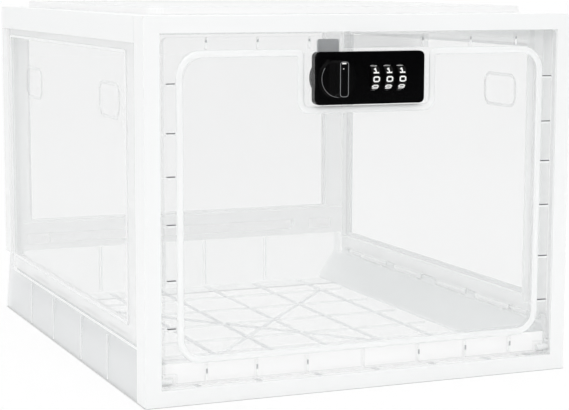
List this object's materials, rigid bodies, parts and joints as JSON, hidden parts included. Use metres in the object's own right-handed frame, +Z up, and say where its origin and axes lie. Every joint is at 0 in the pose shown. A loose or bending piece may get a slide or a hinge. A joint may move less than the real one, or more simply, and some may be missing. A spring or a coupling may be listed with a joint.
{
  "type": "medication lock box",
  "caption": "Clear storage box with a drop-down door, combination cam lock with knob and dial wheels, folding sides and a lift-off lid on a ribbed tray.",
  "frame": {"origin": "middle of the footprint at floor level, the footprint taken from the knob's front to the back", "axes": "+Z up, the door and lock face -Y, +X to the right of someone who faces the door"},
  "size_m": [0.3, 0.375, 0.2465],
  "materials": {
    "milky_plastic": "satin",
    "clear_plastic": "clear",
    "black_plastic": "semi-gloss",
    "black_metal": "gloss",
    "steel": "bright"
  },
  "bodies": {
    "box": {"base_tray": "milky_plastic", "front_frame": "milky_plastic", "rear_panel_frame": "milky_plastic", "rear_window": "clear_plastic", "left_hinge_rod": "milky_plastic", "right_hinge_rod": "milky_plastic"},
    "left_side": {"left_side_frame": "clear_plastic", "left_side_window": "clear_plastic"},
    "right_side": {"right_side_frame": "clear_plastic", "right_side_window": "clear_plastic"},
    "lid": {"lid_frame": "milky_plastic", "lid_window": "clear_plastic"},
    "door": {"front_door": "clear_plastic", "door_hinge_pin_left": "milky_plastic", "door_hinge_pin_right": "milky_plastic", "lock_faceplate": "black_metal", "lock_case": "black_plastic", "lock_screw_lower": "steel", "lock_screw_upper": "steel", "lock_mounting_nut": "black_metal", "wheel_axle": "steel", "click_spring": "steel", "reset_spring": "steel"},
    "knob": {"lock_knob": "black_plastic", "knob_spindle": "steel", "lock_cam": "steel", "cam_nut": "steel"},
    "fence": {"locking_fence": "steel"},
    "wheel_1": {"dial_wheel_1": "black_plastic"},
    "wheel_2": {"dial_wheel_2": "black_plastic"},
    "wheel_3": {"dial_wheel_3": "black_plastic"},
    "reset_button": {"code_reset_button": "black_plastic"}
  },
  "joints": [
    {"name": "door_hinge", "type": "hinge", "parent": "box", "child": "door", "pos_m": [0, -0.1677, 0.015], "axis": [1, 0, 0], "range_deg": [0, 88]},
    {"name": "knob_turn", "type": "hinge", "parent": "door", "child": "knob", "pos_m": [-0.0236, -0.1765, 0.202], "axis": [0, -1, 0], "range_deg": [0, 90]},
    {"name": "fence_slide", "type": "slide", "parent": "door", "child": "fence", "axis": [1, 0, 0], "range_m": [0, 0.00121]},
    {"name": "wheel_1_turn", "type": "hinge", "parent": "door", "child": "wheel_1", "pos_m": [0.0024, -0.1709, 0.202], "axis": [1, 0, 0], "continuous": true},
    {"name": "wheel_2_turn", "type": "hinge", "parent": "door", "child": "wheel_2", "pos_m": [0.0117, -0.1709, 0.202], "axis": [1, 0, 0], "continuous": true},
    {"name": "wheel_3_turn", "type": "hinge", "parent": "door", "child": "wheel_3", "pos_m": [0.021, -0.1709, 0.202], "axis": [1, 0, 0], "continuous": true},
    {"name": "reset_press", "type": "slide", "parent": "door", "child": "reset_button", "axis": [0, 0, 1], "range_m": [0, 0.001], "stiffness_N_per_m": 300, "springref_m": -0.002, "deforming": ["reset_spring"]},
    {"name": "lid_lift", "type": "slide", "parent": "box", "child": "lid", "axis": [0, 0, 1], "range_m": [0, 0.04]},
    {"name": "left_side_fold", "type": "hinge", "parent": "box", "child": "left_side", "pos_m": [-0.1425, 0, 0.0325], "axis": [0, 1, 0], "range_deg": [0, 90]},
    {"name": "right_side_fold", "type": "hinge", "parent": "box", "child": "right_side", "pos_m": [0.1425, 0, 0.0325], "axis": [0, -1, 0], "range_deg": [0, 84]}
  ],
  "couplings": [
    {"joint": "fence_slide", "follows": "knob_turn", "m_per_rad": 0.000764}
  ]
}
